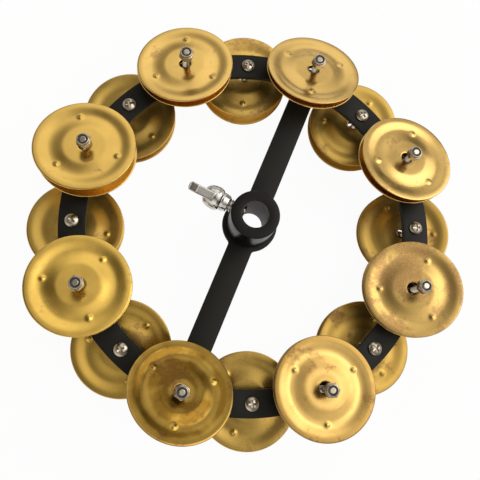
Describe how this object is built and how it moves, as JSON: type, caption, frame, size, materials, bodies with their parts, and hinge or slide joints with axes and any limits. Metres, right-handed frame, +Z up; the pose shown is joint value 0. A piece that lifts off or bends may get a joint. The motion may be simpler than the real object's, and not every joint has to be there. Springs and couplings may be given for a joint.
{
  "type": "hi-hat tambourine",
  "caption": "Flat ring with a crossbar and clamp hub for a hi-hat rod, carrying loose pairs of brass jingles on bolts above and below.",
  "frame": {"origin": "on the axis of the hub's bore, level with the ends of the lower bolts", "axes": "+Z up the bore, out of the hub's top; Y along the crossbar; the wing screw points towards -X, turned 4 degrees towards +Y"},
  "size_m": [0.2657, 0.2626, 0.0596],
  "materials": {
    "black_paint": "satin black paint, softly glossy on the hub's side",
    "brass": "stamped brass, satin sheen with fine turning marks, light tarnish and brown stains",
    "bright_plating": "bright plating over a cast surface",
    "zinc_plating": "zinc plated, slightly dull"
  },
  "bodies": {
    "frame": {"frame_plate": "black_paint", "clamp_hub": "black_paint", "upper_bolt_1": "zinc_plating", "upper_nut_1": "zinc_plating", "upper_bolt_2": "zinc_plating", "upper_nut_2": "zinc_plating", "upper_bolt_3": "zinc_plating", "upper_nut_3": "zinc_plating", "upper_bolt_4": "zinc_plating", "upper_nut_4": "zinc_plating", "upper_bolt_5": "zinc_plating", "upper_nut_5": "zinc_plating", "upper_bolt_6": "zinc_plating", "upper_nut_6": "zinc_plating", "upper_bolt_7": "zinc_plating", "upper_nut_7": "zinc_plating", "upper_bolt_8": "zinc_plating", "upper_nut_8": "zinc_plating", "lower_bolt_1": "zinc_plating", "lower_bolt_2": "zinc_plating", "lower_bolt_3": "zinc_plating", "lower_bolt_4": "zinc_plating", "lower_bolt_5": "zinc_plating", "lower_bolt_6": "zinc_plating", "lower_bolt_7": "zinc_plating", "lower_bolt_8": "zinc_plating"},
    "wing_stud": {"wing_stud": "bright_plating"},
    "wing_head": {"wing_head": "bright_plating"},
    "upper_jingle_1_bottom": {"upper_jingle_1_bottom": "brass"},
    "upper_jingle_1_top": {"upper_jingle_1_top": "brass"},
    "upper_jingle_2_bottom": {"upper_jingle_2_bottom": "brass"},
    "upper_jingle_2_top": {"upper_jingle_2_top": "brass"},
    "upper_jingle_3_bottom": {"upper_jingle_3_bottom": "brass"},
    "upper_jingle_3_top": {"upper_jingle_3_top": "brass"},
    "upper_jingle_4_bottom": {"upper_jingle_4_bottom": "brass"},
    "upper_jingle_4_top": {"upper_jingle_4_top": "brass"},
    "upper_jingle_5_bottom": {"upper_jingle_5_bottom": "brass"},
    "upper_jingle_5_top": {"upper_jingle_5_top": "brass"},
    "upper_jingle_6_bottom": {"upper_jingle_6_bottom": "brass"},
    "upper_jingle_6_top": {"upper_jingle_6_top": "brass"},
    "upper_jingle_7_bottom": {"upper_jingle_7_bottom": "brass"},
    "upper_jingle_7_top": {"upper_jingle_7_top": "brass"},
    "upper_jingle_8_bottom": {"upper_jingle_8_bottom": "brass"},
    "upper_jingle_8_top": {"upper_jingle_8_top": "brass"},
    "lower_jingle_1_bottom": {"lower_jingle_1_bottom": "brass"},
    "lower_jingle_1_top": {"lower_jingle_1_top": "brass"},
    "lower_jingle_2_bottom": {"lower_jingle_2_bottom": "brass"},
    "lower_jingle_2_top": {"lower_jingle_2_top": "brass"},
    "lower_jingle_3_bottom": {"lower_jingle_3_bottom": "brass"},
    "lower_jingle_3_top": {"lower_jingle_3_top": "brass"},
    "lower_jingle_4_bottom": {"lower_jingle_4_bottom": "brass"},
    "lower_jingle_4_top": {"lower_jingle_4_top": "brass"},
    "lower_jingle_5_bottom": {"lower_jingle_5_bottom": "brass"},
    "lower_jingle_5_top": {"lower_jingle_5_top": "brass"},
    "lower_jingle_6_bottom": {"lower_jingle_6_bottom": "brass"},
    "lower_jingle_6_top": {"lower_jingle_6_top": "brass"},
    "lower_jingle_7_bottom": {"lower_jingle_7_bottom": "brass"},
    "lower_jingle_7_top": {"lower_jingle_7_top": "brass"},
    "lower_jingle_8_bottom": {"lower_jingle_8_bottom": "brass"},
    "lower_jingle_8_top": {"lower_jingle_8_top": "brass"}
  },
  "joints": [
    {"name": "wing_stud_slide", "type": "slide", "parent": "frame", "child": "wing_stud", "axis": [0.9976, -0.0698, 0], "range_m": [-0.00625, 0.00187]},
    {"name": "wing_turn", "type": "hinge", "parent": "wing_stud", "child": "wing_head", "pos_m": [-0.02494, 0.00174, 0.047], "axis": [0.9976, -0.0698, 0], "range_deg": [-1800, 540]},
    {"name": "upper_pair_1_slide", "type": "slide", "parent": "frame", "child": "upper_jingle_1_bottom", "axis": [0, 0, 1], "range_m": [-0.00021, 0.00532]},
    {"name": "upper_top_1_slide", "type": "slide", "parent": "upper_jingle_1_bottom", "child": "upper_jingle_1_top", "axis": [0, 0, 1], "range_m": [-0.0001, 0.00532]},
    {"name": "upper_pair_2_slide", "type": "slide", "parent": "frame", "child": "upper_jingle_2_bottom", "axis": [0, 0, 1], "range_m": [-0.00069, 0.00313]},
    {"name": "upper_top_2_slide", "type": "slide", "parent": "upper_jingle_2_bottom", "child": "upper_jingle_2_top", "axis": [0, 0, 1], "range_m": [-0.00298, 0.00313]},
    {"name": "upper_pair_3_slide", "type": "slide", "parent": "frame", "child": "upper_jingle_3_bottom", "axis": [0, 0, 1], "range_m": [-0.00012, 0.00314]},
    {"name": "upper_top_3_slide", "type": "slide", "parent": "upper_jingle_3_bottom", "child": "upper_jingle_3_top", "axis": [0, 0, 1], "range_m": [-0.00006, 0.00314]},
    {"name": "upper_pair_4_slide", "type": "slide", "parent": "frame", "child": "upper_jingle_4_bottom", "axis": [0, 0, 1], "range_m": [-0.00028, 0.00415]},
    {"name": "upper_top_4_slide", "type": "slide", "parent": "upper_jingle_4_bottom", "child": "upper_jingle_4_top", "axis": [0, 0, 1], "range_m": [-0.00074, 0.00415]},
    {"name": "upper_pair_5_slide", "type": "slide", "parent": "frame", "child": "upper_jingle_5_bottom", "axis": [0, 0, 1], "range_m": [-0.00051, 0.00247]},
    {"name": "upper_top_5_slide", "type": "slide", "parent": "upper_jingle_5_bottom", "child": "upper_jingle_5_top", "axis": [0, 0, 1], "range_m": [-0.00483, 0.00247]},
    {"name": "upper_pair_6_slide", "type": "slide", "parent": "frame", "child": "upper_jingle_6_bottom", "axis": [0, 0, 1], "range_m": [-0.00029, 0.00423]},
    {"name": "upper_top_6_slide", "type": "slide", "parent": "upper_jingle_6_bottom", "child": "upper_jingle_6_top", "axis": [0, 0, 1], "range_m": [-0.00097, 0.00423]},
    {"name": "upper_pair_7_slide", "type": "slide", "parent": "frame", "child": "upper_jingle_7_bottom", "axis": [0, 0, 1], "range_m": [-0.00029, 0.00146]},
    {"name": "upper_top_7_slide", "type": "slide", "parent": "upper_jingle_7_bottom", "child": "upper_jingle_7_top", "axis": [0, 0, 1], "range_m": [-0.00003, 0.00146]},
    {"name": "upper_pair_8_slide", "type": "slide", "parent": "frame", "child": "upper_jingle_8_bottom", "axis": [0, 0, 1], "range_m": [-0.00597, 0.00358]},
    {"name": "upper_top_8_slide", "type": "slide", "parent": "upper_jingle_8_bottom", "child": "upper_jingle_8_top", "axis": [0, 0, 1], "range_m": [-0.00013, 0.00358]},
    {"name": "lower_pair_1_slide", "type": "slide", "parent": "frame", "child": "lower_jingle_1_bottom", "axis": [0, 0, 1], "range_m": [-0.00018, 0.00456]},
    {"name": "lower_top_1_slide", "type": "slide", "parent": "lower_jingle_1_bottom", "child": "lower_jingle_1_top", "axis": [0, 0, 1], "range_m": [-0.00009, 0.00456]},
    {"name": "lower_pair_2_slide", "type": "slide", "parent": "frame", "child": "lower_jingle_2_bottom", "axis": [0, 0, 1], "range_m": [-0.00021, 0.00492]},
    {"name": "lower_top_2_slide", "type": "slide", "parent": "lower_jingle_2_bottom", "child": "lower_jingle_2_top", "axis": [0, 0, 1], "range_m": [-0.00064, 0.00492]},
    {"name": "lower_pair_3_slide", "type": "slide", "parent": "frame", "child": "lower_jingle_3_bottom", "axis": [0, 0, 1], "range_m": [-0.00017, 0.00433]},
    {"name": "lower_top_3_slide", "type": "slide", "parent": "lower_jingle_3_bottom", "child": "lower_jingle_3_top", "axis": [0, 0, 1], "range_m": [-0.00008, 0.00433]},
    {"name": "lower_pair_4_slide", "type": "slide", "parent": "frame", "child": "lower_jingle_4_bottom", "axis": [0, 0, 1], "range_m": [-0.00024, 0.00592]},
    {"name": "lower_top_4_slide", "type": "slide", "parent": "lower_jingle_4_bottom", "child": "lower_jingle_4_top", "axis": [0, 0, 1], "range_m": [-0.00012, 0.00592]},
    {"name": "lower_pair_5_slide", "type": "slide", "parent": "frame", "child": "lower_jingle_5_bottom", "axis": [0, 0, 1], "range_m": [-0.00027, 0.00677]},
    {"name": "lower_top_5_slide", "type": "slide", "parent": "lower_jingle_5_bottom", "child": "lower_jingle_5_top", "axis": [0, 0, 1], "range_m": [-0.00013, 0.00677]},
    {"name": "lower_pair_6_slide", "type": "slide", "parent": "frame", "child": "lower_jingle_6_bottom", "axis": [0, 0, 1], "range_m": [-0.00115, 0.00204]},
    {"name": "lower_top_6_slide", "type": "slide", "parent": "lower_jingle_6_bottom", "child": "lower_jingle_6_top", "axis": [0, 0, 1], "range_m": [-0.00364, 0.00204]},
    {"name": "lower_pair_7_slide", "type": "slide", "parent": "frame", "child": "lower_jingle_7_bottom", "axis": [0, 0, 1], "range_m": [-0.00086, 0.00493]},
    {"name": "lower_top_7_slide", "type": "slide", "parent": "lower_jingle_7_bottom", "child": "lower_jingle_7_top", "axis": [0, 0, 1], "range_m": [-0.0001, 0.00493]},
    {"name": "lower_pair_8_slide", "type": "slide", "parent": "frame", "child": "lower_jingle_8_bottom", "axis": [0, 0, 1], "range_m": [-0.00028, 0.00696]},
    {"name": "lower_top_8_slide", "type": "slide", "parent": "lower_jingle_8_bottom", "child": "lower_jingle_8_top", "axis": [0, 0, 1], "range_m": [-0.00014, 0.00696]}
  ],
  "couplings": [
    {"joint": "wing_turn", "follows": "wing_stud_slide", "rad_per_m": 5026.5}
  ]
}
